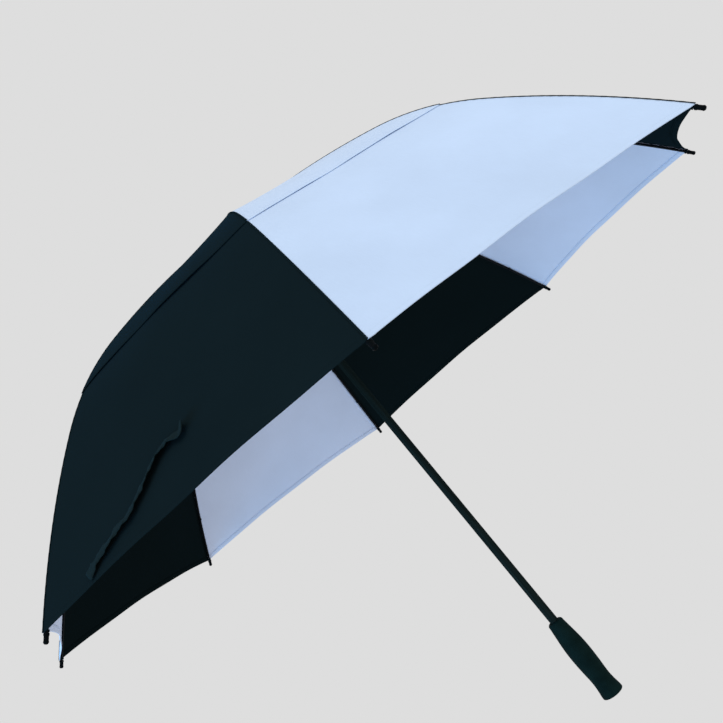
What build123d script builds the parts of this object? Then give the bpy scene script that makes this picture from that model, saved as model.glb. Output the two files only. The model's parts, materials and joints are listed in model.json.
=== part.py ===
from build123d import *
import math
import os

os.makedirs("parts", exist_ok=True)

# Golf umbrella with a vented double canopy, drawn open. Millimetres.
# +Z runs up the shaft to the ferrule; the origin is the middle of the grip's butt.
# Rib 0 points along -Y and the ribs are numbered anticlockwise seen from above.
# Canopy gore i is sewn between rib i and rib i + 1.

# ---- driving dimensions -------------------------------------------------------
RIB_COUNT = 8
PITCH = 360 / RIB_COUNT
FIRST_RIB_ANGLE = -90

SHAFT_RADIUS = 6.75
SHAFT_BORE_RADIUS = 5.0
SHAFT_FOOT_Z = 14
RUNNING_GAP = 0.06

GRIP_LENGTH = 130
GRIP_BUTT_FLAT_RADIUS = 15.6
GRIP_SHOULDER_RADIUS = 9.8
PLUG_LENGTH = 16

RIM_Z = 552
CANOPY_RISE = 374
CANOPY_START_RADIUS = 12
# each arc of the canopy seam: (length, slope at its start, slope at its end), in degrees
SEAM_ARCS = [(330, 12, 22.5), (170, 22.5, 42.5), (252, 42.5, 52)]
FABRIC_THICKNESS = 0.6
VENT_LAYER_LIFT = 0.8
VENT_HEM_S = 436
LOWER_CANOPY_START_S = 360
HEM_SCALLOP = 16
SEAM_GAP = 0.4

RIB_DROP = 4.2
ROD_RADIUS = 2.0
HINGE_RADIUS = 12
HINGE_BELOW_CANOPY = 6
HINGE_Z = RIM_Z + CANOPY_RISE - HINGE_BELOW_CANOPY
WIRE_RADIUS = 0.6
WIRE_HOLE_RADIUS = 0.75
TONGUE_WIDTH = 2.2
SLOT_WIDTH = 2.8
HUB_RADIUS = 9.2
FLANGE_RADIUS = 15.5

JOINT_S = 300
JOINT_DROP = 6.5
RIVET_RADIUS = 1.2
CLOSING_ANGLE = 58.8

TIP_SEAT = 9
TIP_LENGTH = 12

SLEEVE_LENGTH = 66
HOUSING_LENGTH = 22
HOUSING_RADIUS = 12.5
BUTTON_WIDTH = 6.0
BUTTON_GAP = 0.2
LOCK_WINDOW = 4.4

FERRULE_RADIUS = 11
FERRULE_HEIGHT = 11.5

STRAP_WIDTH = 24
STRAP_LENGTH = 200
STRAP_THICKNESS = 0.8


# ---- curves in the plane of a rib: r outward, z up -----------------------------
def slope_arc_step(length, slope_in, slope_out, run):
    """Travel (dr, dz) and slope after a run along one arc that bends downward."""
    a = math.radians(slope_in)
    turn = math.radians(slope_out - slope_in)
    if turn == 0:
        return run * math.cos(a), -run * math.sin(a), a
    radius = length / turn
    b = a + run / radius
    return radius * (math.sin(b) - math.sin(a)), radius * (math.cos(b) - math.cos(a)), b


def curve_point(curve, s, offset=0):
    """Point (r, z) at arc length s, moved outward from the curve by offset."""
    start, arcs = curve
    r, z = start
    for length, slope_in, slope_out in arcs:
        run = min(s, length)
        dr, dz, slope = slope_arc_step(length, slope_in, slope_out, run)
        r += dr
        z += dz
        s -= run
        if s <= 0:
            break
    return r + offset * math.sin(slope), z + offset * math.cos(slope)


def curve_slope(curve, s):
    """Slope below horizontal, in degrees, at arc length s."""
    for length, slope_in, slope_out in curve[1]:
        if s <= length:
            return slope_in + (slope_out - slope_in) * s / length
        s -= length
    return curve[1][-1][2]


def draw_curve(curve, s_from, s_to, offset=0):
    """Draws the curve's arcs between two arc lengths in the current BuildLine."""
    knots = [s_from]
    total = 0
    for length, _, _ in curve[1]:
        total += length
        if s_from < total < s_to:
            knots.append(total)
    knots.append(s_to)
    for a, b in zip(knots, knots[1:]):
        start, end = curve_point(curve, a, offset), curve_point(curve, b, offset)
        middle = curve_point(curve, (a + b) / 2, offset)
        straight_middle = ((start[0] + end[0]) / 2, (start[1] + end[1]) / 2)
        if math.dist(middle, straight_middle) < 1e-6:
            Line(start, end)
        else:
            ThreePointArc(start, middle, end)


def draw_band(curve, s_from, s_to, inner, outer):
    """Draws the closed outline of a band of fabric between two offsets."""
    draw_curve(curve, s_from, s_to, outer)
    draw_curve(curve, s_from, s_to, inner)
    Line(curve_point(curve, s_from, inner), curve_point(curve, s_from, outer))
    Line(curve_point(curve, s_to, inner), curve_point(curve, s_to, outer))


SEAM = ((CANOPY_START_RADIUS, RIM_Z + CANOPY_RISE), SEAM_ARCS)
SEAM_LENGTH = sum(arc[0] for arc in SEAM_ARCS)

# The rib runs below the seam, but its first arc comes up from the crown's hinge.
KNEE_S, _, KNEE_SLOPE = SEAM_ARCS[0]
knee = curve_point(SEAM, KNEE_S, -RIB_DROP)
root_chord = math.dist((HINGE_RADIUS, HINGE_Z), knee)
root_chord_slope = math.degrees(math.atan2(HINGE_Z - knee[1], knee[0] - HINGE_RADIUS))
root_slope = 2 * root_chord_slope - KNEE_SLOPE
root_turn = math.radians(KNEE_SLOPE - root_slope)
root_length = root_chord * (root_turn / 2) / math.sin(root_turn / 2)
RIB_ARCS = [(root_length, root_slope, KNEE_SLOPE)]
for length, slope_in, slope_out in SEAM_ARCS[1:]:
    RIB_ARCS.append((length - RIB_DROP * math.radians(slope_out - slope_in), slope_in, slope_out))
RIB_LENGTH = sum(arc[0] for arc in RIB_ARCS)
TIP_SLOPE = SEAM_ARCS[-1][2]
RIB = ((HINGE_RADIUS, HINGE_Z), RIB_ARCS + [(TIP_SEAT, TIP_SLOPE, TIP_SLOPE)])

# Rib joint, and the runner's hinge circle: crown, joint and runner make an isosceles linkage.
joint_r, joint_z = curve_point(RIB, JOINT_S, -JOINT_DROP)
LINK_LENGTH = math.dist((HINGE_RADIUS, HINGE_Z), (joint_r, joint_z))
OPEN_ANGLE = math.degrees(math.atan2(joint_r - HINGE_RADIUS, HINGE_Z - joint_z))
RUNNER_Z = HINGE_Z - 2 * LINK_LENGTH * math.cos(math.radians(OPEN_ANGLE))
CLOSED_RUNNER_Z = HINGE_Z - 2 * LINK_LENGTH * math.cos(math.radians(OPEN_ANGLE - CLOSING_ANGLE))
STRETCHER_RISE = 90 - OPEN_ANGLE


# ---- planes --------------------------------------------------------------------
def direction(angle):
    """Horizontal unit vector at an angle from +X."""
    return Vector(math.cos(math.radians(angle)), math.sin(math.radians(angle)), 0)


def upright_plane(angle):
    """Plane through the shaft's axis: local x is outward at this angle, local y is up."""
    return Plane(origin=(0, 0, 0), x_dir=direction(angle), z_dir=direction(angle - 90))


def rib_angle(i):
    return FIRST_RIB_ANGLE + PITCH * i


def rib_plane(i):
    return upright_plane(rib_angle(i))


def plane_in_rib(i, r, z, slope):
    """Plane of rib i with its origin at (r, z) and local x pointing down its slope."""
    base = rib_plane(i)
    along = base.x_dir * math.cos(math.radians(slope)) - Vector(0, 0, math.sin(math.radians(slope)))
    return Plane(origin=base.from_local_coords((r, z, 0)), x_dir=along, z_dir=base.z_dir)


def across(plane):
    """The plane through the same origin that faces along the given plane's local x."""
    return Plane(origin=plane.origin, x_dir=plane.y_dir, z_dir=plane.x_dir)


# ---- shaft, grip and ferrule ----------------------------------------------------
BUTTON_ANGLE = FIRST_RIB_ANGLE + PITCH / 2 + 180
button_plane = upright_plane(BUTTON_ANGLE)
TOOTH_DROP = SLEEVE_LENGTH + 5
CROWN_TOP_Z = HINGE_Z + 4.4

with BuildPart() as shaft:
    with BuildSketch(Plane.XY.offset(SHAFT_FOOT_Z)):
        Circle(SHAFT_RADIUS)
        Circle(SHAFT_BORE_RADIUS, mode=Mode.SUBTRACT)
    extrude(amount=CROWN_TOP_Z - SHAFT_FOOT_Z)
    for window_z in (RUNNER_Z - TOOTH_DROP, CLOSED_RUNNER_Z - TOOTH_DROP):
        with BuildSketch(across(button_plane)):
            with Locations((window_z, 0)):
                Rectangle(LOCK_WINDOW, LOCK_WINDOW)
        extrude(amount=SHAFT_RADIUS + 1, mode=Mode.SUBTRACT)
shaft.part.label = "shaft"

with BuildPart() as shaft_plug:
    with BuildSketch(Plane.XY.offset(SHAFT_FOOT_Z)):
        Circle(SHAFT_BORE_RADIUS)
    extrude(amount=PLUG_LENGTH)
    chamfer(shaft_plug.edges().group_by(Axis.Z)[-1], 0.8)
shaft_plug.part.label = "shaft_plug"

# Foam grip: flared butt, waist, palm swell and a rounded shoulder round the shaft.
with BuildPart() as grip:
    with BuildSketch(Plane.XZ):
        with BuildLine():
            Line((0, 0), (GRIP_BUTT_FLAT_RADIUS, 0))
            ThreePointArc((GRIP_BUTT_FLAT_RADIUS, 0), (16.8, 0.6), (17.2, 2))
            Spline(
                (17.2, 2),
                (16.1, 12),
                (15.0, 25),
                (15.7, 42),
                (16.8, 64),
                (16.4, 88),
                (14.2, 110),
                (12.5, 125),
                tangents=[(-0.02, 1), (-0.12, 1)],
            )
            ThreePointArc((12.5, 125), (11.8, 128.4), (GRIP_SHOULDER_RADIUS, GRIP_LENGTH))
            Polyline(
                (GRIP_SHOULDER_RADIUS, GRIP_LENGTH),
                (SHAFT_RADIUS, GRIP_LENGTH),
                (SHAFT_RADIUS, SHAFT_FOOT_Z),
            )
            Polyline((SHAFT_RADIUS, SHAFT_FOOT_Z), (0, SHAFT_FOOT_Z), (0, 0))
        make_face()
    revolve(axis=Axis.Z)
grip.part.label = "grip"

DISC_Z = CROWN_TOP_Z + 3.4
DISC_THICKNESS = 1.2
FERRULE_Z = DISC_Z + DISC_THICKNESS
FERRULE_TOP_Z = FERRULE_Z + FERRULE_HEIGHT
FERRULE_STUD_Z = HINGE_Z - 20

with BuildPart() as top_disc:
    with BuildSketch(Plane.XY.offset(DISC_Z)):
        Circle(18)
        Circle(SHAFT_RADIUS, mode=Mode.SUBTRACT)
    extrude(amount=DISC_THICKNESS)
top_disc.part.label = "top_disc"

# Ferrule: a stud in the shaft's bore, a neck through the canopy, a short skirt and a domed cap.
with BuildPart() as ferrule:
    with BuildSketch(Plane.XZ):
        with BuildLine():
            Polyline(
                (0, FERRULE_STUD_Z),
                (SHAFT_BORE_RADIUS, FERRULE_STUD_Z),
                (SHAFT_BORE_RADIUS, CROWN_TOP_Z),
                (SHAFT_RADIUS, CROWN_TOP_Z),
                (SHAFT_RADIUS, FERRULE_Z),
                (FERRULE_RADIUS, FERRULE_Z),
                (FERRULE_RADIUS, FERRULE_Z + 3),
                (FERRULE_RADIUS - 1, FERRULE_Z + 4),
            )
            Spline(
                (FERRULE_RADIUS - 1, FERRULE_Z + 4),
                (7.6, FERRULE_Z + 8.4),
                (4.0, FERRULE_TOP_Z - 0.8),
                (0, FERRULE_TOP_Z),
                tangents=[(-0.2, 1), (-1, 0)],
            )
            Line((0, FERRULE_TOP_Z), (0, FERRULE_STUD_Z))
        make_face()
    revolve(axis=Axis.Z)
ferrule.part.label = "ferrule"


# ---- crown and runner: a slotted flange with a ring of wire ----------------------
def cut_rib_slots(bottom, top):
    """Cuts one radial slot for each rib through the flange of the current part."""
    for i in range(RIB_COUNT):
        with BuildSketch(rib_plane(i)) as slot:
            with Locations((HUB_RADIUS, bottom)):
                Rectangle(2 * FLANGE_RADIUS, top - bottom, align=(Align.MIN, Align.MIN))
        extrude(slot.sketch, amount=SLOT_WIDTH / 2, both=True, mode=Mode.SUBTRACT)


def cut_wire_groove(z):
    with BuildSketch(Plane.XZ) as groove:
        with Locations((HINGE_RADIUS, z)):
            Circle(WIRE_RADIUS)
    revolve(groove.sketch, axis=Axis.Z, mode=Mode.SUBTRACT)


def wire_ring(name, z):
    with BuildPart() as ring:
        with BuildSketch(Plane.XZ):
            with Locations((HINGE_RADIUS, z)):
                Circle(WIRE_RADIUS)
        revolve(axis=Axis.Z)
    ring.part.label = name
    return ring


with BuildPart() as crown:
    with BuildSketch(Plane.XZ):
        with BuildLine():
            Polyline(
                (SHAFT_RADIUS, HINGE_Z - 12),
                (HUB_RADIUS, HINGE_Z - 12),
                (HUB_RADIUS, HINGE_Z - 3.2),
                (FLANGE_RADIUS, HINGE_Z - 3.2),
                (FLANGE_RADIUS, CROWN_TOP_Z - 1.2),
                (FLANGE_RADIUS - 2.5, CROWN_TOP_Z),
                (SHAFT_RADIUS, CROWN_TOP_Z),
                close=True,
            )
        make_face()
    revolve(axis=Axis.Z)
    cut_rib_slots(HINGE_Z - 4, HINGE_Z + 2.8)
    cut_wire_groove(HINGE_Z)
crown.part.label = "crown"

RUNNER_TOP_Z = RUNNER_Z + 6
HOUSING_TOP_Z = RUNNER_Z - SLEEVE_LENGTH
RUNNER_FOOT_Z = HOUSING_TOP_Z - HOUSING_LENGTH
RUNNER_BORE_RADIUS = SHAFT_RADIUS + RUNNING_GAP
BUTTON_PIVOT = (10.4, HOUSING_TOP_Z - 11)
PIN_RADIUS = 1.0

with BuildPart() as runner:
    with BuildSketch(Plane.XZ):
        with BuildLine():
            Polyline(
                (RUNNER_BORE_RADIUS, RUNNER_TOP_Z),
                (HUB_RADIUS, RUNNER_TOP_Z),
                (HUB_RADIUS, RUNNER_Z + 3.5),
                (FLANGE_RADIUS, RUNNER_Z + 3.5),
                (FLANGE_RADIUS, RUNNER_Z - 2.5),
                (HUB_RADIUS, RUNNER_Z - 2.5),
                (HUB_RADIUS, HOUSING_TOP_Z + 2),
                (HOUSING_RADIUS, HOUSING_TOP_Z - 2),
                (HOUSING_RADIUS, RUNNER_FOOT_Z + 1.5),
                (HOUSING_RADIUS - 1.5, RUNNER_FOOT_Z),
                (RUNNER_BORE_RADIUS, RUNNER_FOOT_Z),
                close=True,
            )
        make_face()
    revolve(axis=Axis.Z)
    cut_rib_slots(RUNNER_Z - 3, RUNNER_Z + 4)
    cut_wire_groove(RUNNER_Z)
    with BuildSketch(button_plane):
        with Locations((0, HOUSING_TOP_Z - 1.5)):
            Rectangle(20, HOUSING_LENGTH - 4.5, align=(Align.MIN, Align.MAX))
    extrude(amount=BUTTON_WIDTH / 2 + BUTTON_GAP, both=True, mode=Mode.SUBTRACT)
    with BuildSketch(button_plane):
        with Locations(BUTTON_PIVOT):
            Circle(PIN_RADIUS)
    extrude(amount=HOUSING_RADIUS, both=True, mode=Mode.SUBTRACT)
runner.part.label = "runner"

crown_wire = wire_ring("crown_wire", HINGE_Z)
runner_wire = wire_ring("runner_wire", RUNNER_Z)

with BuildPart() as button_pin:
    with BuildSketch(button_plane):
        with Locations(BUTTON_PIVOT):
            Circle(PIN_RADIUS)
    extrude(amount=6, both=True)
button_pin.part.label = "button_pin"

# Rocker catch: its tooth points at the shaft's lock window and its pad is pressed inward.
tooth_top = HOUSING_TOP_Z - 3
pad_foot = HOUSING_TOP_Z - 18.5
with BuildPart() as release_button:
    with BuildSketch(button_plane):
        with BuildLine():
            Polyline(
                (SHAFT_RADIUS + 0.15, tooth_top),
                (12.0, tooth_top),
                (12.0, tooth_top - 7),
                (14.6, tooth_top - 10.5),
                (14.6, pad_foot + 1),
                (13.6, pad_foot),
                (9.0, pad_foot),
                (8.4, tooth_top - 8),
                (8.4, tooth_top - 4),
                (SHAFT_RADIUS + 0.15, tooth_top - 4),
                close=True,
            )
        make_face()
        with Locations(BUTTON_PIVOT):
            Circle(PIN_RADIUS + RUNNING_GAP, mode=Mode.SUBTRACT)
    extrude(amount=BUTTON_WIDTH / 2, both=True)
release_button.part.label = "release_button"


# ---- ribs, tips, joints and stretchers --------------------------------------------
TONGUE_LENGTH = 12


def make_rib(i):
    """Glass-fibre rod, flattened into a hinge tongue with an eye at the crown."""
    plane = rib_plane(i)
    with BuildPart() as rib:
        with BuildLine(plane) as centre_line:
            draw_curve(RIB, 8, RIB_LENGTH + TIP_SEAT)
        with BuildSketch(Plane(origin=centre_line.line @ 0, z_dir=centre_line.line % 0)):
            Circle(ROD_RADIUS)
        sweep()
        with BuildSketch(plane):
            with BuildLine():
                draw_band(RIB, 0, TONGUE_LENGTH, -ROD_RADIUS, ROD_RADIUS)
            make_face()
            with Locations((HINGE_RADIUS, HINGE_Z)):
                Circle(ROD_RADIUS + 0.4)
                Circle(WIRE_HOLE_RADIUS, mode=Mode.SUBTRACT)
        extrude(amount=TONGUE_WIDTH / 2, both=True)
    rib.part.label = f"rib_{i}"
    return rib


def make_rib_tip(i):
    """Moulded cap on the rib's end, with a collar where the canopy's corner is sewn on."""
    corner = curve_point(RIB, RIB_LENGTH)
    plane = plane_in_rib(i, *corner, TIP_SLOPE)
    with BuildPart() as tip:
        with BuildSketch(plane):
            with BuildLine():
                Polyline((0, ROD_RADIUS), (0, 3.1), (0.5, 3.4), (2.4, 3.4), (3.2, 2.9), (8, 2.9))
                Spline((8, 2.9), (9.8, 3.2), (11.4, 2.4), (TIP_LENGTH, 0), tangents=[(1, 0), (0, -1)])
                Polyline((TIP_LENGTH, 0), (TIP_SEAT, 0), (TIP_SEAT, ROD_RADIUS), (0, ROD_RADIUS))
            make_face()
        revolve(axis=Axis(plane.origin, plane.x_dir))
    tip.part.label = f"rib_tip_{i}"
    return tip


def make_rib_joint(i):
    """Sleeve clamped on the rib with two ears below it, and the rivet through them."""
    centre = curve_point(RIB, JOINT_S)
    plane = plane_in_rib(i, *centre, curve_slope(RIB, JOINT_S))
    ear_gap = TONGUE_WIDTH + 0.6
    ear_thickness = 1.3
    with BuildPart() as joint:
        with BuildSketch(across(plane)):
            Circle(3.2)
        extrude(amount=8, both=True)
        with BuildSketch(plane):
            with Locations((0, -JOINT_DROP)):
                Circle(3)
            with Locations((0, -JOINT_DROP / 2)):
                Rectangle(6, JOINT_DROP)
        extrude(amount=ear_gap / 2 + ear_thickness, both=True)
        with BuildSketch(plane):
            with Locations((0, -JOINT_DROP)):
                Rectangle(8, 2 * (JOINT_DROP - 3.3))
        extrude(amount=ear_gap / 2, both=True, mode=Mode.SUBTRACT)
        with BuildSketch(plane):
            with Locations((0, -JOINT_DROP)):
                Circle(RIVET_RADIUS + 0.03)
        extrude(amount=6, both=True, mode=Mode.SUBTRACT)
        with BuildSketch(across(plane)):
            Circle(ROD_RADIUS + 0.1)
        extrude(amount=9, both=True, mode=Mode.SUBTRACT)
        outer_face = ear_gap / 2 + ear_thickness + 0.03
        with BuildSketch(plane):
            with Locations((0, -JOINT_DROP)):
                Circle(RIVET_RADIUS)
        extrude(amount=outer_face + 0.8, both=True)
        for side in (-1, 1):
            with BuildSketch(plane.offset(side * outer_face)):
                with Locations((0, -JOINT_DROP)):
                    Circle(2)
            extrude(amount=side * 0.8)
    joint.part.label = f"rib_joint_{i}"
    return joint


def make_stretcher(i):
    """Rod with an eye riveted to the rib joint and an open hook over the runner's wire."""
    plane = plane_in_rib(i, HINGE_RADIUS, RUNNER_Z, -STRETCHER_RISE)
    hook_tongue = 24
    eye_tongue = 14
    with BuildPart() as stretcher:
        rod_start = hook_tongue
        with BuildSketch(across(plane).offset(rod_start)):
            Circle(ROD_RADIUS + 0.2)
        extrude(amount=LINK_LENGTH - rod_start - 7)
        with BuildSketch(plane):
            with BuildLine():
                Polyline(
                    (-1.9, 1.1),
                    (-0.85, 1.1),
                    (-0.85, -0.75),
                    (3, -0.75),
                    (14, 1.9),
                    (hook_tongue + 4, 1.9),
                    (hook_tongue + 4, -2.0),
                    (10, -3.0),
                    (0, -3.0),
                    (-1.9, -1.6),
                    close=True,
                )
            make_face()
            with Locations((LINK_LENGTH - eye_tongue / 2, 0)):
                Rectangle(eye_tongue, 3.8)
            with Locations((LINK_LENGTH, 0)):
                Circle(2.6)
                Circle(RIVET_RADIUS + 0.05, mode=Mode.SUBTRACT)
        extrude(amount=TONGUE_WIDTH / 2, both=True)
    stretcher.part.label = f"stretcher_{i}"
    return stretcher


# ---- canopy -----------------------------------------------------------------------
def gore_direction(i):
    """Direction straight across gore i, from rib i to rib i + 1."""
    return direction(rib_angle(i) + PITCH / 2 + 90)


def hem_plane(i):
    """Plane lying on the middle of gore i's hem: local x along it, local y up the gore."""
    r, z = curve_point(SEAM, SEAM_LENGTH)
    middle_r = r * math.cos(math.radians(PITCH / 2))
    steeper = math.atan(math.tan(math.radians(TIP_SLOPE)) / math.cos(math.radians(PITCH / 2)))
    outward = direction(rib_angle(i) + PITCH / 2)
    normal = outward * math.sin(steeper) + Vector(0, 0, math.cos(steeper))
    origin = outward * middle_r + Vector(0, 0, z)
    return Plane(origin=origin, x_dir=gore_direction(i), z_dir=normal)


def extrude_gore_band(i, s_from, s_to, inner, outer):
    """Spans the gap between two ribs with a band whose cross-lines are straight."""
    with BuildSketch(rib_plane(i).offset(-SEAM_GAP)) as band:
        with BuildLine():
            draw_band(SEAM, s_from, s_to, inner, outer)
        make_face()
    extrude(band.sketch, amount=540, dir=gore_direction(i))
    split(bisect_by=rib_plane(i + 1).offset(SEAM_GAP), keep=Keep.TOP)


def make_lower_canopy(i):
    """Lower gore: from under the vent to the scalloped hem."""
    half_hem = curve_point(SEAM, SEAM_LENGTH)[0] * math.sin(math.radians(PITCH / 2))
    with BuildPart() as gore:
        extrude_gore_band(i, LOWER_CANOPY_START_S, SEAM_LENGTH, -FABRIC_THICKNESS, 0)
        with BuildSketch(hem_plane(i)):
            with BuildLine():
                ThreePointArc((-half_hem, 0), (0, HEM_SCALLOP), (half_hem, 0))
                Polyline((half_hem, 0), (half_hem, -40), (-half_hem, -40), (-half_hem, 0))
            make_face()
        extrude(amount=40, both=True, mode=Mode.SUBTRACT)
    gore.part.label = f"lower_canopy_{i}"
    return gore


def make_vent_canopy(i):
    """Upper gore: the cap that covers the wind vent."""
    lift = VENT_LAYER_LIFT
    with BuildPart() as gore:
        extrude_gore_band(i, 0, VENT_HEM_S, lift, lift + FABRIC_THICKNESS)
    gore.part.label = f"vent_canopy_{i}"
    return gore


def gore_point(i, across_share, s, offset=0):
    """Point on gore i at a share of the way from rib i to rib i + 1."""
    r, z = curve_point(SEAM, s, offset)
    start = direction(rib_angle(i)) * r
    end = direction(rib_angle(i + 1)) * r
    return start + (end - start) * across_share + Vector(0, 0, z)


STRAP_GORE = RIB_COUNT - 1
STRAP_BASE = (0.15, 738)
STRAP_END = (0.52, 648)

with BuildPart() as tie_strap:
    base_point = gore_point(STRAP_GORE, *STRAP_BASE)
    end_point = gore_point(STRAP_GORE, *STRAP_END)
    strap_normal = hem_plane(STRAP_GORE).z_dir
    along_strap = end_point - base_point
    along_strap = along_strap - strap_normal * along_strap.dot(strap_normal)
    strap_middle = (base_point + end_point) * 0.5
    extrude_gore_band(STRAP_GORE, VENT_HEM_S, SEAM_LENGTH, 0.4, 0.4 + STRAP_THICKNESS)
    with BuildSketch(Plane(origin=strap_middle, x_dir=along_strap, z_dir=strap_normal)):
        Rectangle(STRAP_LENGTH, STRAP_WIDTH)
    extrude(amount=40, both=True, mode=Mode.INTERSECT)
tie_strap.part.label = "tie_strap"


# ---- export -----------------------------------------------------------------------
pieces = [shaft, shaft_plug, grip, top_disc, ferrule, crown, crown_wire]
pieces += [runner, runner_wire, button_pin, release_button, tie_strap]
for maker in (make_rib, make_rib_tip, make_rib_joint, make_stretcher):
    pieces += [maker(i) for i in range(RIB_COUNT)]
for maker in (make_lower_canopy, make_vent_canopy):
    pieces += [maker(i) for i in range(RIB_COUNT)]

for piece in pieces:
    export_step(piece.part, f"parts/{piece.part.label}.step")

print("link length", round(LINK_LENGTH, 3), "open angle", round(OPEN_ANGLE, 3))
print("runner z open", round(RUNNER_Z, 3), "closed", round(CLOSED_RUNNER_Z, 3))
print("joint", round(joint_r, 3), round(joint_z, 3), "button pivot", BUTTON_PIVOT)
print("ferrule top", FERRULE_TOP_Z, "rib length", round(RIB_LENGTH, 2))
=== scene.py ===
import json
import math

import bpy
import numpy as np
from mathutils import Matrix, Vector


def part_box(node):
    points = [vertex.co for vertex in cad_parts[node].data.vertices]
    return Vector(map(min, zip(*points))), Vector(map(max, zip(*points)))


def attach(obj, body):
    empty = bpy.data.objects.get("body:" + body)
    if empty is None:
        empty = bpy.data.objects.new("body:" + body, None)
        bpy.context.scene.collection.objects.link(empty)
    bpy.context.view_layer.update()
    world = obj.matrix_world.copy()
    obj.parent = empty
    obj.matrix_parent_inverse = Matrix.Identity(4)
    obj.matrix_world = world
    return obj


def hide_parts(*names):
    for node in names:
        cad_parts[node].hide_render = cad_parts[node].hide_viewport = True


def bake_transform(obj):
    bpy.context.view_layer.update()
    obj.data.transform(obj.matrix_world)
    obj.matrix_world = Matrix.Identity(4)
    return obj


# Golf umbrella with a vented double canopy, shown open. Metres, in the CAD frame: +Z runs up the
# shaft, rib 0 points along -Y, the ribs are numbered anticlockwise seen from above, and gore i is
# sewn between rib i and rib i + 1.

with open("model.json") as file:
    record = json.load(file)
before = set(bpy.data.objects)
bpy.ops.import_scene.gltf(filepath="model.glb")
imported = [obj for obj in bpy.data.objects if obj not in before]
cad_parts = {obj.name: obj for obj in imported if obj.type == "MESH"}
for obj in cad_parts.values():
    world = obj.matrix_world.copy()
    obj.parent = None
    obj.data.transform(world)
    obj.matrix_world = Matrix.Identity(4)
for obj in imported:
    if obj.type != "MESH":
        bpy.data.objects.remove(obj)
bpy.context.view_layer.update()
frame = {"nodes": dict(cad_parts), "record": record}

# ---- sizes --------------------------------------------------------------------------------
RIB_COUNT = 8
PITCH = 2 * math.pi / RIB_COUNT
FIRST_RIB_ANGLE = -math.pi / 2

# The canopy's seam in the plane of a rib, as arcs: (length, slope at its start, at its end).
JOINTS = {row["name"]: row for row in frame["record"]["behaviour"]["joints"]}
CLOTH_ABOVE_HINGE = 0.006
SEAM_START = (0.012, JOINTS["rib_hinge_0"]["pos_m"][2] + CLOTH_ABOVE_HINGE)
SEAM_ARCS = [(0.330, 12, 22.5), (0.170, 22.5, 42.5), (0.252, 42.5, 52)]
SEAM_LENGTH = sum(arc[0] for arc in SEAM_ARCS)
LOWER_START_S = 0.360
VENT_HEM_S = 0.436

CLOTH_THICKNESS = 0.0003
LOWER_BASE = -0.0003
VENT_BASE = 0.0009
HEM_SCALLOP = 0.016
HEM_DIP = 0.008
HEM_WIDTH = 0.009
HEM_CHORD = 0.49
HEM_TURN_RADIUS = 0.00040
HEM_PLY_GAP = 0.00002
CORNER_REACH = 0.0025
CORNER_WIDTH = 0.006
RIPPLE_HEIGHT = 0.0010
RIPPLE_REACH = 0.035
FOLD_HEIGHT = 0.0007

# The vent hem's rest on the gore below, and how much more slack the dark cloth has.
VENT_REST_START_S = 0.30
VENT_DIP = 0.0035
VENT_SLACK = 0.0006
VENT_SLACK_WAVE = 0.0003
VENT_FLUTTER = 0.0002
DARK_SLACK_FACTOR = 3.0

# The gathers beside each seam, and the seam allowances under the cloth.
PUCKER_PITCH = 0.0125
PUCKER_HEIGHT = 0.00028
PUCKER_START = 0.003
PUCKER_REACH = 0.008
ALLOWANCE_START = 0.0006
ALLOWANCE_WIDTH = 0.007
ALLOWANCE_DROP = 0.00065
ALLOWANCE_WAVE = 0.0002
ALLOWANCE_PITCH = 0.021
ALLOWANCE_SHORTFALL = 0.012

STITCH_PITCH = 0.0032
STITCH_LENGTH = 0.0024
STITCH_WIDTH = 0.0004
STITCH_HEIGHT = 0.00022
STITCH_INSET = 0.0065
WEAVE_PITCH = 0.00045

# How far each vent hem is cut back, and where across the gore it is deepest.
VENT_HEMS = [
    (0.006, 0.55), (0.012, 0.45), (0.010, 0.50), (0.013, 0.42),
    (0.010, 0.55), (0.012, 0.50), (0.011, 0.46), (0.021, 0.32),
]


def gore_is_dark(i):
    return i % 2 == 1


def fabric_slot(i):
    return "dark_fabric" if gore_is_dark(i) else "white_fabric"


# ---- the canopy's shape ---------------------------------------------------------------------
def rib_direction(i):
    angle = FIRST_RIB_ANGLE + PITCH * i
    return np.array([math.cos(angle), math.sin(angle), 0.0])


def seam_point(s, offset=0.0):
    """Radius, height and slope of the seam at arc length s, moved outward by an offset."""
    s = np.asarray(s, float)
    r = np.full(s.shape, SEAM_START[0])
    z = np.full(s.shape, SEAM_START[1])
    slope = np.full(s.shape, math.radians(SEAM_ARCS[0][1]))
    done = 0.0
    for length, slope_in, slope_out in SEAM_ARCS:
        start = math.radians(slope_in)
        radius = length / math.radians(slope_out - slope_in)
        end = start + np.clip(s - done, 0, length) / radius
        r = r + radius * (np.sin(end) - math.sin(start))
        z = z + radius * (np.cos(end) - math.cos(start))
        slope = np.where(s > done, end, slope)
        done += length
    return r + offset * np.sin(slope), z + offset * np.cos(slope), slope


def gore_normal(i, slope):
    """Outward normal of the straight-ruled gore at a seam slope."""
    middle = rib_direction(i) + rib_direction(i + 1)
    middle = middle / np.linalg.norm(middle)
    upward = np.cos(slope) * math.cos(PITCH / 2)
    outward = np.sin(slope)
    size = np.sqrt(upward**2 + outward**2)
    normal = middle * (outward / size)[..., None]
    normal[..., 2] = upward / size
    return normal


def gore_width(s):
    return 2 * seam_point(s)[0] * math.sin(PITCH / 2)


def gore_surface(i, u, s, base, lift):
    """Points at share u from rib i to rib i + 1 and arc length s, lifted along the normal."""
    u, s, lift = np.broadcast_arrays(u, s, lift)
    r, z, slope = seam_point(s, base)
    flat = rib_direction(i) * (1 - u)[..., None] + rib_direction(i + 1) * u[..., None]
    points = flat * r[..., None]
    points[..., 2] = z
    return points + gore_normal(i, slope) * lift[..., None]


def smooth_step(t):
    t = np.clip(t, 0, 1)
    return t * t * (3 - 2 * t)


def arch(u):
    """0 at both ribs, 1 half way between them."""
    return 4 * u * (1 - u)


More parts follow.
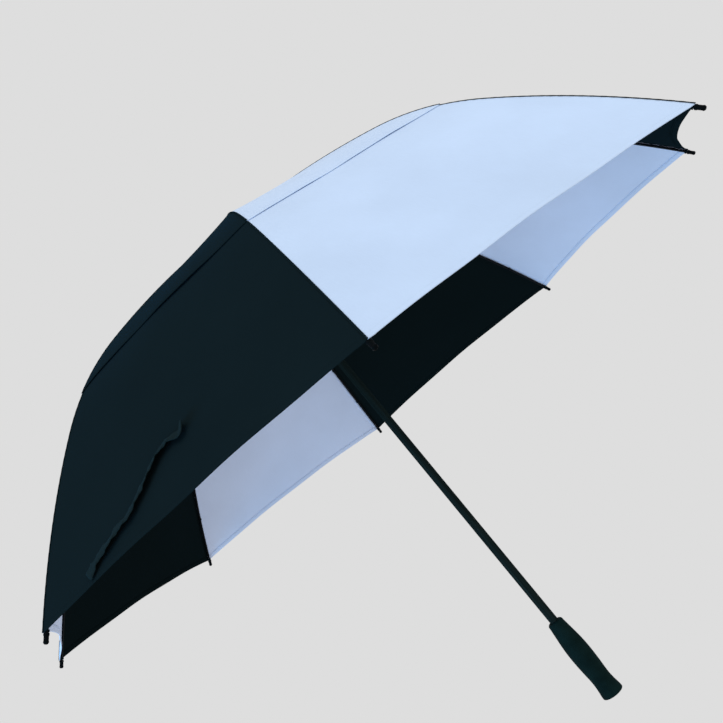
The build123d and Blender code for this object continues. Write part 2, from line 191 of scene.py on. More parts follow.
def seam_pucker(i, u, s):
    """The tiny gathers that the stitching leaves beside each seam."""
    from_seam = np.minimum(u, 1 - u) * gore_width(s)
    wave = np.sin(s * 2 * math.pi / PUCKER_PITCH + 1.7 * i + 5 * np.round(u))
    fade = np.exp(-from_seam / PUCKER_REACH) * smooth_step(from_seam / PUCKER_START)
    return PUCKER_HEIGHT * wave * fade


def lower_hem_s(u):
    """The scalloped hem; its two corners reach on to the collars of the rib tips."""
    from_seam = np.minimum(u, 1 - u) * HEM_CHORD
    corner = CORNER_REACH * np.exp(-((from_seam / CORNER_WIDTH) ** 2))
    return SEAM_LENGTH - HEM_SCALLOP * arch(u) + corner


def lower_lift(i, u, s):
    """How the stretched lower gore dips between its ribs, with faint tension folds."""
    down = (s - LOWER_START_S) / (SEAM_LENGTH - LOWER_START_S)
    dip = HEM_DIP * smooth_step(0.15 + 0.85 * down) * arch(u)
    from_hem = np.maximum(lower_hem_s(u) - s, 0)
    ripple = RIPPLE_HEIGHT * np.sin(2 * math.pi * (2.6 * u + 0.37 * i))
    ripple = ripple * np.exp(-from_hem / RIPPLE_REACH)
    fan = FOLD_HEIGHT * np.sin(2 * math.pi * (1.5 * u + 0.8 * down + 0.21 * i)) * (1 - down)
    return -dip + (ripple + fan) * arch(u) + seam_pucker(i, u, s)


def vent_hem_s(i, u):
    depth, deepest = VENT_HEMS[i]
    power = math.log(0.5) / math.log(deepest)
    return VENT_HEM_S - depth * np.sin(math.pi * np.clip(u, 0, 1) ** power)


def vent_lift(i, u, s):
    """The vent cap dips between its ribs, then its hem lies slackly on the gore below."""
    near_hem = smooth_step((s - VENT_REST_START_S) / (VENT_HEM_S - VENT_REST_START_S))
    dip = VENT_DIP * smooth_step(s / VENT_HEM_S) * arch(u)
    slack = VENT_SLACK + VENT_SLACK_WAVE * np.sin(2 * math.pi * (1.7 * u + 0.31 * i))
    slack = slack * (DARK_SLACK_FACTOR if gore_is_dark(i) else 1.0)
    flutter = VENT_FLUTTER * np.sin(2 * math.pi * (4.3 * u + 0.17 * i))
    resting = lower_lift(i, u, s) + (slack + flutter) * arch(u) ** 0.5
    return near_hem * resting - (1 - near_hem) * dip + seam_pucker(i, u, s) * (1 - near_hem)


# ---- mesh building --------------------------------------------------------------------------
class MeshParts:
    """Collects grids and small solids, then makes one object of them."""

    def __init__(self):
        self.points, self.faces, self.shares, self.cloth_uv, self.under = [], [], [], [], []
        self.count = 0

    def add(self, points, faces, share, cloth_uv=None, under=0.0):
        points = np.asarray(points, float).reshape(-1, 3)
        total = len(points)
        self.points.append(points)
        self.faces.extend(tuple(int(n) + self.count for n in face) for face in faces)
        self.shares.append(np.broadcast_to(np.asarray(share, float), (total,)))
        if cloth_uv is None:
            cloth_uv = points[:, :2]
        self.cloth_uv.append(np.asarray(cloth_uv, float).reshape(-1, 2))
        self.under.append(np.broadcast_to(np.asarray(under, float), (total,)))
        self.count += total

    def add_sheet(self, points, share, cloth_uv, thickness=CLOTH_THICKNESS, under=(0.0, 1.0)):
        """A grid of points given real thickness, with closed rims.

        under says how much each face of the cloth belongs to the canopy's underside.
        """
        rows, cols = points.shape[:2]
        along = np.gradient(points, axis=0)
        across = np.gradient(points, axis=1)
        normal = np.cross(along, across)
        normal = normal / np.maximum(np.linalg.norm(normal, axis=2, keepdims=True), 1e-12)
        both = np.concatenate([points + normal * thickness / 2, points - normal * thickness / 2])
        index = np.arange(rows * cols).reshape(rows, cols)
        lower = index + rows * cols
        corner = [index[:-1, :-1], index[1:, :-1], index[1:, 1:], index[:-1, 1:]]
        top = np.stack(corner, axis=-1).reshape(-1, 4)
        bottom = (np.stack(corner[::-1], axis=-1) + rows * cols).reshape(-1, 4)
        rims = []
        for edge, below in (
            (index[0], lower[0]),
            (index[:, -1], lower[:, -1]),
            (index[-1][::-1], lower[-1][::-1]),
            (index[::-1, 0], lower[::-1, 0]),
        ):
            rims.append(np.stack([edge[:-1], edge[1:], below[1:], below[:-1]], axis=-1))
        faces = np.concatenate([top, bottom, *rims])
        sides = [np.broadcast_to(value, (rows, cols)).reshape(-1) for value in under]
        uv = np.tile(cloth_uv.reshape(-1, 2), (2, 1))
        self.add(both, faces, np.tile(share.reshape(-1), 2), uv, np.concatenate(sides))

    def add_stitch(self, centre, along, normal, share, size):
        """One thread stitch: a small rounded bar lying half in the cloth."""
        length, width, height = size
        across = np.cross(normal, along)
        rings = []
        for place, full in ((-0.5, 0.45), (-0.18, 1.0), (0.18, 1.0), (0.5, 0.45)):
            for side, up in ((1, 0), (0, 1), (-1, 0), (0, -1)):
                offset = along * place * length + across * side * full * width / 2
                rings.append(centre + offset + normal * up * full * height / 2)
        faces = [(0, 3, 2, 1), (12, 13, 14, 15)]
        for k in range(3):
            for n in range(4):
                m = (n + 1) % 4
                faces.append((4 * k + n, 4 * k + m, 4 * k + 4 + m, 4 * k + 4 + n))
        self.add(np.array(rings), faces, share)

    def add_tube(self, path, radius, up, sides, closed=False, flatten=1.0):
        """A round or flattened tube along a path of points."""
        steps = np.gradient(path, axis=0)
        if closed:
            steps = np.roll(path, -1, axis=0) - np.roll(path, 1, axis=0)
        steps = steps / np.linalg.norm(steps, axis=1, keepdims=True)
        side = np.cross(steps, np.asarray(up, float))
        side = side / np.maximum(np.linalg.norm(side, axis=1, keepdims=True), 1e-9)
        rise = np.cross(side, steps)
        angles = np.linspace(0, 2 * math.pi, sides, endpoint=False)
        ring = side[:, None] * np.cos(angles)[None, :, None]
        ring = ring + rise[:, None] * (np.sin(angles) * flatten)[None, :, None]
        points = path[:, None] + ring * radius
        faces = []
        last = len(path) if closed else len(path) - 1
        for k in range(last):
            n = (k + 1) % len(path)
            for a in range(sides):
                b = (a + 1) % sides
                faces.append((k * sides + b, k * sides + a, n * sides + a, n * sides + b))
        if not closed:
            faces.append(tuple(range(sides)))
            faces.append(tuple((len(path) - 1) * sides + a for a in range(sides))[::-1])
        self.add(points, faces, 0.0)

    def make(self, name, material):
        mesh = bpy.data.meshes.new(name)
        mesh.from_pydata(np.concatenate(self.points).tolist(), [], self.faces)
        mesh.update()
        layer = mesh.uv_layers.new(name="cloth")
        corner_vertex = np.zeros(len(mesh.loops), np.int32)
        mesh.loops.foreach_get("vertex_index", corner_vertex)
        uv = np.concatenate(self.cloth_uv)[corner_vertex]
        layer.data.foreach_set("uv", uv.astype(np.float32).reshape(-1))
        underside = mesh.attributes.new("underside", "FLOAT", "POINT")
        underside.data.foreach_set("value", np.concatenate(self.under).astype(np.float32))
        mesh.shade_smooth()
        piece = bpy.data.objects.new(name, mesh)
        bpy.context.scene.collection.objects.link(piece)
        mesh.materials.append(material)
        return piece

    def all_shares(self):
        return np.concatenate(self.shares)


def fold_with_gore(piece):
    """Bakes a finished piece's placement into its mesh; it is not bent or folded with a rib.
    """
    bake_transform(piece)


# ---- materials ------------------------------------------------------------------------------
def new_material(name):
    material = bpy.data.materials.new(name)
    material.use_nodes = True
    nodes = material.node_tree.nodes
    return material, nodes, material.node_tree.links, nodes["Principled BSDF"]


def noise(nodes, links, vector, scale, detail):
    node = nodes.new("ShaderNodeTexNoise")
    node.inputs["Scale"].default_value = scale
    node.inputs["Detail"].default_value = detail
    links.new(vector, node.inputs["Vector"])
    return node.outputs["Fac"]


def ramp(nodes, links, value, stops):
    node = nodes.new("ShaderNodeValToRGB")
    elements = node.color_ramp.elements
    while len(elements) < len(stops):
        elements.new(0.5)
    for element, (place, colour) in zip(elements, stops):
        element.position = place
        element.color = (*colour, 1)
    links.new(value, node.inputs["Fac"])
    return node.outputs["Color"]


def math_node(nodes, links, operation, first, second):
    node = nodes.new("ShaderNodeMath")
    node.operation = operation
    for socket, value in zip(node.inputs, (first, second)):
        if isinstance(value, (int, float)):
            socket.default_value = value
        else:
            links.new(value, socket)
    return node.outputs["Value"]


def scaled_and_raised(nodes, links, value, scale, base):
    product = math_node(nodes, links, "MULTIPLY", value, scale)
    return math_node(nodes, links, "ADD", product, base)


def bump(nodes, links, height, strength, distance, below=None):
    node = nodes.new("ShaderNodeBump")
    node.inputs["Strength"].default_value = strength
    node.inputs["Distance"].default_value = distance
    links.new(height, node.inputs["Height"])
    if below is not None:
        links.new(below, node.inputs["Normal"])
    return node.outputs["Normal"]


def shade(colour, factor):
    return tuple(min(1.0, c * factor) for c in colour)


def weave_height(nodes, links):
    """Plain weave on the cloth's own coordinates, in metres: over and under threads."""
    uv = nodes.new("ShaderNodeUVMap")
    uv.uv_map = "cloth"
    split = nodes.new("ShaderNodeSeparateXYZ")
    links.new(uv.outputs["UV"], split.inputs["Vector"])
    waves = []
    for axis in ("X", "Y"):
        scaled = math_node(nodes, links, "MULTIPLY", split.outputs[axis], math.pi / WEAVE_PITCH)
        waves.append(math_node(nodes, links, "SINE", scaled, 0.0))
    checker = math_node(nodes, links, "MULTIPLY", waves[0], waves[1])
    return checker, uv.outputs["UV"]


def fabric_material(name, colour, underside_painted_light_and_shade, specular, sheen, sheen_tint):
    """Plain-woven cloth; the canopy's underside gets another base colour, as painted light through
    the white cloth and painted shade under the dark cloth.
    """
    material, nodes, links, shader = new_material(name)
    weave, uv = weave_height(nodes, links)
    place = nodes.new("ShaderNodeTexCoord").outputs["Object"]
    cloud = noise(nodes, links, place, 7.0, 4.0)
    slub_scale = nodes.new("ShaderNodeMapping")
    slub_scale.inputs["Scale"].default_value = (900, 60, 1)
    links.new(uv, slub_scale.inputs["Vector"])
    slub = noise(nodes, links, slub_scale.outputs["Vector"], 1.0, 2.0)
    mixed = math_node(nodes, links, "ADD", cloud, math_node(nodes, links, "MULTIPLY", slub, 0.25))
    mixed = math_node(nodes, links, "ADD", mixed, math_node(nodes, links, "MULTIPLY", weave, 0.05))
    sides = nodes.new("ShaderNodeMix")
    sides.data_type = "RGBA"
    underside = nodes.new("ShaderNodeAttribute")
    underside.attribute_name = "underside"
    links.new(underside.outputs["Fac"], sides.inputs["Factor"])
    # The underside's colour is painted light on the white cloth and painted shade on the dark cloth.
    for tone, socket in ((colour, sides.inputs[6]), (underside_painted_light_and_shade, sides.inputs[7])):
        stops = [(0.38, shade(tone, 0.94)), (0.85, shade(tone, 1.05))]
        links.new(ramp(nodes, links, mixed, stops), socket)
    links.new(sides.outputs[2], shader.inputs["Base Color"])
    shader.inputs["Roughness"].default_value = 0.60
    shader.inputs["Specular IOR Level"].default_value = specular
    shader.inputs["Sheen Weight"].default_value = sheen
    shader.inputs["Sheen Roughness"].default_value = 0.35
    shader.inputs["Sheen Tint"].default_value = (*sheen_tint, 1)
    first = bump(nodes, links, weave, 0.30, 0.00010)
    links.new(bump(nodes, links, slub, 0.15, 0.0001, first), shader.inputs["Normal"])
    return material


def thread_material(name, colour, specular):
    """Polyester sewing thread: fine fibres, lighter and darker."""
    material, nodes, links, shader = new_material(name)
    place = nodes.new("ShaderNodeTexCoord").outputs["Object"]
    fibre = noise(nodes, links, place, 4200.0, 2.0)
    stops = [(0.3, shade(colour, 0.75)), (0.75, shade(colour, 1.2))]
    links.new(ramp(nodes, links, fibre, stops), shader.inputs["Base Color"])
    shader.inputs["Roughness"].default_value = 0.55
    shader.inputs["Specular IOR Level"].default_value = specular
    links.new(bump(nodes, links, fibre, 0.4, 0.0001), shader.inputs["Normal"])
    return material


def fibreglass_material(name, colour, roughness, specular):
    """Pultruded rod: long faint streaks along it under a lacquer."""
    material, nodes, links, shader = new_material(name)
    place = nodes.new("ShaderNodeTexCoord").outputs["Object"]
    stretch = nodes.new("ShaderNodeMapping")
    stretch.inputs["Scale"].default_value = (900, 900, 12)
    links.new(place, stretch.inputs["Vector"])
    streak = noise(nodes, links, stretch.outputs["Vector"], 1.0, 3.0)
    speck = noise(nodes, links, place, 320.0, 2.0)
    stops = [(0.35, shade(colour, 0.7)), (0.7, shade(colour, 1.35))]
    links.new(ramp(nodes, links, streak, stops), shader.inputs["Base Color"])
    rough = scaled_and_raised(nodes, links, speck, 0.14, roughness - 0.07)
    links.new(rough, shader.inputs["Roughness"])
    shader.inputs["Specular IOR Level"].default_value = specular
    links.new(bump(nodes, links, streak, 0.12, 0.00008), shader.inputs["Normal"])
    return material


def nylon_material(name, colour, roughness, specular):
    """Moulded nylon with a fine spark-eroded grain."""
    material, nodes, links, shader = new_material(name)
    place = nodes.new("ShaderNodeTexCoord").outputs["Object"]
    grain = noise(nodes, links, place, 2600.0, 2.0)
    cloud = noise(nodes, links, place, 90.0, 3.0)
    stops = [(0.3, shade(colour, 0.8)), (0.75, shade(colour, 1.25))]
    links.new(ramp(nodes, links, cloud, stops), shader.inputs["Base Color"])
    rough = scaled_and_raised(nodes, links, cloud, 0.2, roughness - 0.1)
    links.new(rough, shader.inputs["Roughness"])
    shader.inputs["Specular IOR Level"].default_value = specular
    links.new(bump(nodes, links, grain, 0.25, 0.00006), shader.inputs["Normal"])
    return material


def steel_material(name):
    """Bright plated wire with a faint uneven tarnish."""
    material, nodes, links, shader = new_material(name)
    place = nodes.new("ShaderNodeTexCoord").outputs["Object"]
    stain = noise(nodes, links, place, 400.0, 3.0)
    stops = [(0.3, (0.42, 0.42, 0.43)), (0.7, (0.66, 0.66, 0.66))]
    links.new(ramp(nodes, links, stain, stops), shader.inputs["Base Color"])
    shader.inputs["Metallic"].default_value = 1.0
    rough = scaled_and_raised(nodes, links, stain, 0.25, 0.2)
    links.new(rough, shader.inputs["Roughness"])
    return material


def foam_material(name, colour, specular):
    """Closed-cell foam: shallow open pores in a smooth skin."""
    material, nodes, links, shader = new_material(name)
    place = nodes.new("ShaderNodeTexCoord").outputs["Object"]
    cells = nodes.new("ShaderNodeTexVoronoi")
    cells.inputs["Scale"].default_value = 950.0
    links.new(place, cells.inputs["Vector"])
    cloud = noise(nodes, links, place, 45.0, 4.0)
    stops = [(0.35, shade(colour, 0.8)), (0.7, shade(colour, 1.3))]
    links.new(ramp(nodes, links, cloud, stops), shader.inputs["Base Color"])
    rough = scaled_and_raised(nodes, links, cloud, 0.2, 0.5)
    links.new(rough, shader.inputs["Roughness"])
    shader.inputs["Specular IOR Level"].default_value = specular
    height = math_node(nodes, links, "ADD", cells.outputs["Distance"], cloud)
    links.new(bump(nodes, links, height, 0.35, 0.00018), shader.inputs["Normal"])
    return material


# The underside colours are painted: the white cloth's underside is brighter, as painted light
# shining through it, and the dark cloth's underside is darker, as painted shade.
WHITE = (0.545, 0.680, 0.895)
WHITE_UNDER_PAINTED_LIGHT = (0.585, 0.685, 0.905)
DARK = (0.0056, 0.0112, 0.0135)
DARK_UNDER_PAINTED_SHADE = (0.0042, 0.0080, 0.0090)
TAPE = (0.0085, 0.0165, 0.0190)
SHAFT_COLOUR = (0.0095, 0.0165, 0.0160)
RIB_COLOUR = (0.005, 0.006, 0.008)
NYLON_COLOUR = (0.0022, 0.0034, 0.0042)
FOAM_COLOUR = (0.0042, 0.0130, 0.0130)
WHITE_THREAD = (0.58, 0.72, 0.93)
DARK_THREAD = (0.0055, 0.0115, 0.0145)
MATERIALS = {
    "white_fabric": fabric_material("white_pongee", WHITE, WHITE_UNDER_PAINTED_LIGHT, 0.22, 0.06, (1.0, 1.0, 1.0)),
    "dark_fabric": fabric_material("dark_pongee", DARK, DARK_UNDER_PAINTED_SHADE, 0.0, 0.022, (0.15, 0.55, 1.0)),
    "dark_tape": fabric_material("dark_tape", TAPE, TAPE, 0.0, 0.02, (0.3, 0.7, 1.0)),
    "white_thread": thread_material("white_thread", WHITE_THREAD, 0.2),
    "dark_thread": thread_material("dark_thread", DARK_THREAD, 0.0),
    "shaft_fibreglass": fibreglass_material("shaft_lacquer", SHAFT_COLOUR, 0.42, 0.0),
    "rib_fibreglass": fibreglass_material("rib_rod", RIB_COLOUR, 0.32, 0.05),
    "black_nylon": nylon_material("black_nylon", NYLON_COLOUR, 0.38, 0.01),
    "steel_wire": steel_material("plated_wire"),
    "foam_grip": foam_material("grip_foam", FOAM_COLOUR, 0.01),
}


def thread_of(i):
    return MATERIALS["dark_thread" if gore_is_dark(i) else "white_thread"]


def dress_cad_nodes():
    """Gives every CAD node that stays visible the material of its slot."""
    slots = {row["node"]: row["material_slot"] for row in frame["record"]["subparts"]}
    for name, node in frame["nodes"].items():
        node.data.materials.clear()
        node.data.materials.append(MATERIALS[slots[name]])


# ---- canopy ---------------------------------------------------------------------------------
def edge_heavy_shares(count):
    """Shares from 0 to 1, closer together beside both seams."""
    power = 1.35
    t = np.linspace(-1, 1, count)
    return 0.5 + 0.5 * np.sign(t) * (1 - (1 - np.abs(t)) ** power)


def hem_rows(straight_rows):
    """(share of the way to the hem, distance past it, drop inside) for the rows of one gore."""
    rows = [(t, 0.0, 0.0) for t in np.linspace(0, 1, straight_rows)]
    for angle in np.radians([45, 90, 135, 180]):
        past, inside = HEM_TURN_RADIUS * math.sin(angle), HEM_TURN_RADIUS * (1 - math.cos(angle))
        rows.append((1.0, past, inside))
    for back in (0.12, 0.35, 0.6, 0.85, 1.0):
        inside = 2 * HEM_TURN_RADIUS * (1 - back) + (CLOTH_THICKNESS + HEM_PLY_GAP) * back
        rows.append((1.0, -HEM_WIDTH * back, inside))
    return np.array(rows)


def gore_cloth(i, name, start_s, hem_s, lift, base, shape):
    """One gore's cloth: the stretched sheet, its turned hem, and its two seam allowances."""
    row_count, column_count = shape
    u = edge_heavy_shares(column_count)[None, :]
    way, past, inside = (column[:, None] for column in hem_rows(row_count).T)
    s = start_s + (hem_s(u) - start_s) * way + past
    points = gore_surface(i, u, s, base, lift(i, u, s) - inside)
    share = np.broadcast_to(u, s.shape)
    across = (share - 0.5) * gore_width(s)
    turned = smooth_step((past < 0) + (inside > HEM_TURN_RADIUS))
    cloth = MeshParts()
    cloth.add_sheet(points, share, np.stack([across, s], axis=-1), under=(turned, 1.0))
    for side in (0, 1):
        end_s = float(hem_s(np.array(0.0))) - ALLOWANCE_SHORTFALL
        s = np.linspace(start_s, end_s, row_count)[:, None]
        away = np.linspace(ALLOWANCE_START, ALLOWANCE_WIDTH, 5)[None, :]
        share = away / gore_width(s)
        share = 1 - share[:, ::-1] if side else share
        drop = ALLOWANCE_DROP + ALLOWANCE_WAVE * np.sin(s * 2 * math.pi / ALLOWANCE_PITCH + i)
        points = gore_surface(i, share, s, base, lift(i, share, s) - drop)
        uv = np.stack(np.broadcast_arrays((share - 0.5) * gore_width(s), s), axis=-1)
        cloth.add_sheet(points, share, uv, under=(1.0, 1.0))
    piece = cloth.make(name, MATERIALS[fabric_slot(i)])
    return piece, cloth.all_shares()


def cloth_spot(i, u, hem_s, lift, base):
    """Arc length, point and outward normal of a gore's cloth on the line of its hem stitches."""
    u = np.array(u)
    s = hem_s(u) - STITCH_INSET
    at = gore_surface(i, u, s, base, lift(i, u, s))
    return s, at, gore_normal(i, seam_point(s)[2])


def hem_stitches(i, name, hem_s, lift, base):
    """The row of stitches that holds a hem, seen on both faces of the cloth."""
    thread = MeshParts()
    count = int(gore_width(float(hem_s(np.array(0.5)))) / STITCH_PITCH)
    faces = ((CLOTH_THICKNESS / 2, 1), (-2 * HEM_TURN_RADIUS - CLOTH_THICKNESS / 2, -1))
    size = (STITCH_LENGTH, STITCH_WIDTH, STITCH_HEIGHT)
    for k in range(2, count - 2):
        u = (k + 0.5) / count
        s, at, normal = cloth_spot(i, u, hem_s, lift, base)
        ahead_u = u + 0.5 * STITCH_LENGTH / gore_width(s)
        ahead = cloth_spot(i, ahead_u, hem_s, lift, base)[1]
        along = (ahead - at) / np.linalg.norm(ahead - at)
        for height, way in faces:
            thread.add_stitch(at + normal * height, along, normal * way, u, size)
    piece = thread.make(name, thread_of(i))
    return piece, thread.all_shares()


def build_gore(i):
    """The lower cloth and the vent cap of gore i, with their hems' stitching."""
    layers = (
        ("lower_canopy", LOWER_START_S, lower_hem_s, lower_lift, LOWER_BASE, (132, 49)),
        ("vent_canopy", 0.0, lambda u: vent_hem_s(i, u), vent_lift, VENT_BASE, (120, 41)),
    )
    for node, start_s, hem_s, lift, base, shape in layers:
        piece, shares = gore_cloth(i, f"{node}_cloth_{i}", start_s, hem_s, lift, base, shape)
        thread, thread_shares = hem_stitches(i, f"{node}_hem_stitches_{i}", hem_s, lift, base)
        fold_with_gore(piece)
        fold_with_gore(thread)
        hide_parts(f"{node}_{i}")
        corner_s = float(hem_s(np.array(0.0)))


# ---- tie strap ------------------------------------------------------------------------------
STRAP_GORE = RIB_COUNT - 1
STRAP_WIDTH = 0.016
STRAP_BULGE = 0.0008
STRAP_THICKNESS = 0.0010
STRAP_STITCH = (STITCH_LENGTH, 0.0005, 0.0004)
STRAP_STITCH_ROWS = (-0.42, 0.42)
# The strap's small uneven twists: (degrees, length of one wave, start).
STRAP_RUMPLES = ((5, 0.026, 0), (3, 0.011, 1))
# Where the strap's middle line runs: (share across the gore, arc length, height, tilt on edge).
STRAP_PATH = [
    (0.163, 0.7340, 0.0021, -8),
    (0.195, 0.7230, 0.0032, -16),
    (0.242, 0.7150, 0.0043, -24),
    (0.270, 0.7080, 0.0040, -22),
    (0.310, 0.7040, 0.0045, -26),
    (0.345, 0.6910, 0.0043, -24),
    (0.380, 0.6790, 0.0048, -28),
    (0.405, 0.6690, 0.0050, -30),
    (0.438, 0.6600, 0.0050, -30),
    (0.478, 0.6570, 0.0048, -28),
    (0.512, 0.6610, 0.0045, -26),
    (0.525, 0.6510, 0.0052, -32),
]


def smooth_path(knots, count):
    """Catmull-Rom curve through the knots."""
    knots = np.asarray(knots, float)
    ends = np.vstack([2 * knots[0] - knots[1], knots, 2 * knots[-1] - knots[-2]])
    t = np.linspace(0, len(knots) - 1, count)
    k = np.minimum(t.astype(int), len(knots) - 2)
    f = (t - k)[:, None]
    a, b, c, d = (ends[k + n] for n in range(4))
    square = 2 * a - 5 * b + 4 * c - d
    cube = 3 * b - a - 3 * c + d
    return 0.5 * (2 * b + (c - a) * f + square * f**2 + cube * f**3)


def build_tie_strap():
    """The ribbon that ties the shut umbrella, sewn at the hem and lying twisted on its gore."""
    i = STRAP_GORE
    line = smooth_path(STRAP_PATH, 90)
    u, s, height, tilt = line.T
    lift = lower_lift(i, u, s) + height
    middle = gore_surface(i, u, s, LOWER_BASE, lift)
    along = np.gradient(middle, axis=0)
    along = along / np.linalg.norm(along, axis=1, keepdims=True)
    normal = gore_normal(i, seam_point(s)[2])
    across = np.cross(normal, along)
    across = across / np.linalg.norm(across, axis=1, keepdims=True)
    rise = np.cross(along, across)
    run = np.concatenate([[0], np.cumsum(np.linalg.norm(np.diff(middle, axis=0), axis=1))])
    rumple = sum(
        degrees * np.sin(run * 2 * math.pi / wave + start) for degrees, wave, start in STRAP_RUMPLES
    )
    angle = np.radians(tilt + rumple)[:, None]
    lean = across * np.cos(angle) + rise * np.sin(angle)
    bow = np.cross(along, lean)
    v = np.linspace(-0.5, 0.5, 13)
    sag = STRAP_BULGE * (1 - (2 * v) ** 2)
    points = middle[:, None] + lean[:, None] * (v * STRAP_WIDTH)[None, :, None]
    points = points + bow[:, None] * sag[None, :, None]
    uv = np.stack(np.broadcast_arrays((v * STRAP_WIDTH)[None, :], run[:, None]), axis=-1)
    strap = MeshParts()
    share = np.broadcast_to(u[:, None], uv.shape[:2])
    strap.add_sheet(points, share, uv, STRAP_THICKNESS, under=(0.0, 0.0))
    piece = strap.make("tie_strap_ribbon", MATERIALS["dark_tape"])
    thread = MeshParts()
    for side in STRAP_STITCH_ROWS:
        raised = STRAP_BULGE * (1 - (2 * side) ** 2)
        for k in range(2, len(run) - 1, 2):
            centre = middle[k] + lean[k] * side * STRAP_WIDTH + bow[k] * raised
            for face in (1, -1):
                at = centre + bow[k] * face * STRAP_THICKNESS / 2
                thread.add_stitch(at, along[k], bow[k] * face, u[k], STRAP_STITCH)
    stitches = thread.make("tie_strap_stitches", MATERIALS["dark_thread"])
    fold_with_gore(piece)
    fold_with_gore(stitches)
    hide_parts("tie_strap")


# ---- small fabric and thread details ----------------------------------------------------------
DISC_HOLE_RADIUS = 0.0068
DISC_THICKNESS = 0.0008
DISC_RAISE = 0.0002
DISC_DROOP = 0.0022
DISC_SCALLOP = 0.012
DISC_PUCKER_HEIGHT = 0.0002
DISC_PUCKERS = 16


def build_top_disc():
    """The fabric washer under the ferrule, a little gathered at its drooping rim."""
    low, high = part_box("top_disc")
    radius, middle_z = high.x, (low.z + high.z) / 2
    rings = np.linspace(DISC_HOLE_RADIUS, radius, 12)[:, None]
    angle = np.linspace(0, 2 * math.pi, 97)[None, :]
    share_out = rings / radius
    puckers = np.sin(DISC_PUCKERS * angle)
    reach = rings * (1 + DISC_SCALLOP * puckers * share_out**3)
    height = middle_z + DISC_RAISE + (DISC_PUCKER_HEIGHT * puckers - DISC_DROOP) * share_out**2
    points = np.broadcast_arrays(reach * np.cos(angle), reach * np.sin(angle), height)
    points = np.stack(points, axis=-1)
    disc = MeshParts()
    disc.add_sheet(points, np.zeros(points.shape[:2]), points[..., :2], DISC_THICKNESS)
    piece = disc.make("top_disc_cloth", MATERIALS["dark_fabric"])
    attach(piece, "root")
    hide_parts("top_disc")


# Where thread is wound round a rib: (arc length, radius of the turns).
BINDINGS = ((0.548, 0.0028), (0.655, 0.0028), (0.7495, 0.0030))
BINDING_DROP = 0.0042
BINDING_PITCH = 0.0008
BINDING_THREAD_RADIUS = 0.00038


def build_rib_bindings(i):
    """Thread wound round each rib where the canopy is tied to it, and at the tip's collar."""
    binding = MeshParts()
    outward = rib_direction(i)
    side = np.array([-outward[1], outward[0], 0.0])
    angle = np.linspace(0, 2 * math.pi, 20, endpoint=False)[:, None]
    for s, reach in BINDINGS:
        for turn in (-1, 0, 1):
            r, z, slope = seam_point(s + BINDING_PITCH * turn)
            upward = outward * math.sin(slope) + np.array([0, 0, math.cos(slope)])
            centre = outward * r + np.array([0, 0, z]) - upward * BINDING_DROP
            path = centre + side * (np.cos(angle) * reach) + upward * (np.sin(angle) * reach)
            binding.add_tube(path, BINDING_THREAD_RADIUS, outward, sides=6, closed=True)
    piece = binding.make(f"rib_binding_{i}", MATERIALS["dark_thread"])
    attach(piece, f"rib_{i}")


SEAM_TOP_S = 0.006
SEAM_RADIUS = 0.0011
SEAM_RAISE = 0.0003
SEAM_WAVE = 0.00008


def build_seam(i):
    """The raised, felled seam over rib i, down the vent cap and on down the lower gores."""
    seam = MeshParts()
    outward = rib_direction(i)
    vent_run = (SEAM_TOP_S, VENT_HEM_S, VENT_BASE)
    lower_run = (VENT_HEM_S, SEAM_LENGTH, LOWER_BASE)
    for start_s, end_s, base in (vent_run, lower_run):
        s = np.linspace(start_s, end_s, 110)
        height = base + SEAM_RAISE + SEAM_WAVE * np.sin(s * 2 * math.pi / PUCKER_PITCH + i)
        r, z = seam_point(s, height)[:2]
        path = outward * r[:, None]
        path[:, 2] = z
        seam.add_tube(path, SEAM_RADIUS, (0, 0, 1), sides=10, flatten=0.6)
    piece = seam.make(f"seam_{i}", MATERIALS["dark_fabric"])
    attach(piece, f"rib_{i}")


# ---- studio -----------------------------------------------------------------------------------
BACKDROP = (0.730, 0.730, 0.730, 1)
FLOOR_HALF_SIZE = 30.0
FLOOR_DROP = 0.0005
SQUARE = ((-1, -1), (1, -1), (1, 1), (-1, 1))


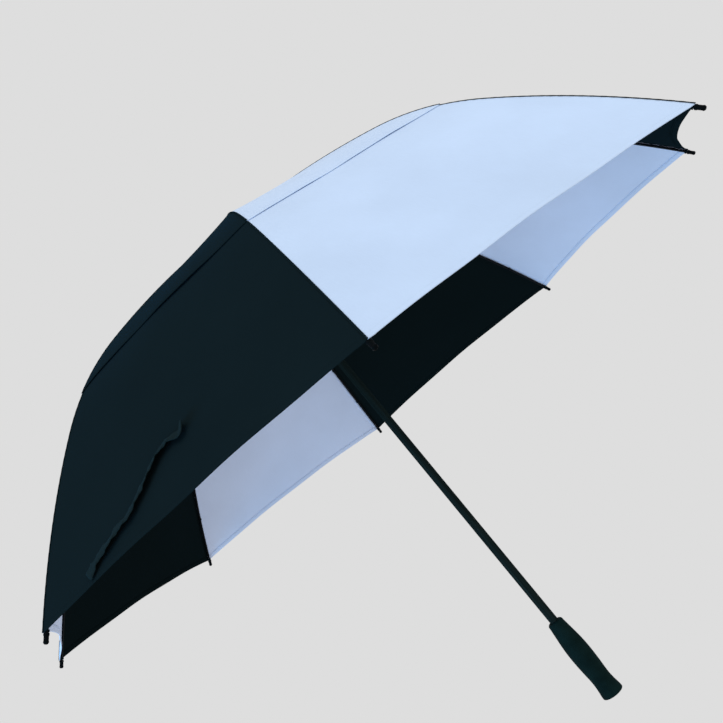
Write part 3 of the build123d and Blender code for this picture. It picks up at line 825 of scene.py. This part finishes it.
def build_studio():
    """An even grey world, and a floor of the same grey that is clear from below."""
    world = bpy.data.worlds.new("studio")
    world.use_nodes = True
    world.node_tree.nodes["Background"].inputs["Color"].default_value = BACKDROP
    bpy.context.scene.world = world

    mesh = bpy.data.meshes.new("floor")
    corners = [(x * FLOOR_HALF_SIZE, y * FLOOR_HALF_SIZE, 0) for x, y in SQUARE]
    mesh.from_pydata(corners, [], [(0, 1, 2, 3)])
    floor = bpy.data.objects.new("floor", mesh)
    floor.location.z = -FLOOR_DROP
    bpy.context.scene.collection.objects.link(floor)
    material = bpy.data.materials.new("seamless_paper")
    material.use_nodes = True
    nodes, links = material.node_tree.nodes, material.node_tree.links
    nodes.remove(nodes["Principled BSDF"])
    glow = nodes.new("ShaderNodeEmission")
    glow.inputs["Color"].default_value = BACKDROP
    clear = nodes.new("ShaderNodeBsdfTransparent")
    facing = nodes.new("ShaderNodeNewGeometry").outputs["Backfacing"]
    mix = nodes.new("ShaderNodeMixShader")
    links.new(facing, mix.inputs["Fac"])
    links.new(glow.outputs["Emission"], mix.inputs[1])
    links.new(clear.outputs["BSDF"], mix.inputs[2])
    links.new(mix.outputs["Shader"], nodes["Material Output"].inputs["Surface"])
    mesh.materials.append(material)


def area_light(name, place, target, size, power, colour):
    light = bpy.data.lights.new(name, "AREA")
    light.size = size
    light.energy = power
    light.color = colour
    lamp = bpy.data.objects.new(name, light)
    lamp.location = place
    lamp.rotation_euler = (Vector(target) - Vector(place)).to_track_quat("-Z", "Y").to_euler()
    bpy.context.scene.collection.objects.link(lamp)


def build_lights():
    middle = (0, 0, 0.7)
    area_light("key", (-0.6, -2.6, 2.6), middle, 1.8, 30, (0.93, 0.97, 1.0))
    area_light("side", (2.6, -0.6, 1.6), middle, 1.4, 12, (0.85, 0.93, 1.0))
    area_light("under", (-2.0, -0.9, 0.15), (0.3, 0.2, 0.75), 1.2, 42, (0.04, 0.55, 1.0))


def build_camera():
    """Low in front of the canopy, rolled so that the shaft runs to the lower right."""
    place = Vector((-0.0672, -1.4021, 0.4478))
    forward = Vector((0.01034, 0.98620, 0.16525))
    upward = Vector((0.62975, -0.13479, 0.76502))
    camera = bpy.data.cameras.new("camera")
    camera.sensor_width = 36.0
    camera.lens = 44.16
    camera.shift_x = 0.0880
    holder = bpy.data.objects.new("camera", camera)
    right = forward.cross(upward).normalized()
    upward = right.cross(forward)
    turn = Matrix((right, upward, -forward)).transposed()
    holder.matrix_world = Matrix.Translation(place) @ turn.to_4x4()
    bpy.context.scene.collection.objects.link(holder)
    bpy.context.scene.camera = holder


# ---- build ------------------------------------------------------------------------------------
bpy.context.scene.view_settings.view_transform = "Standard"
build_camera()
build_studio()
build_lights()
dress_cad_nodes()
for gore in range(RIB_COUNT):
    build_gore(gore)
    build_rib_bindings(gore)
    build_seam(gore)
build_tie_strap()
build_top_disc()
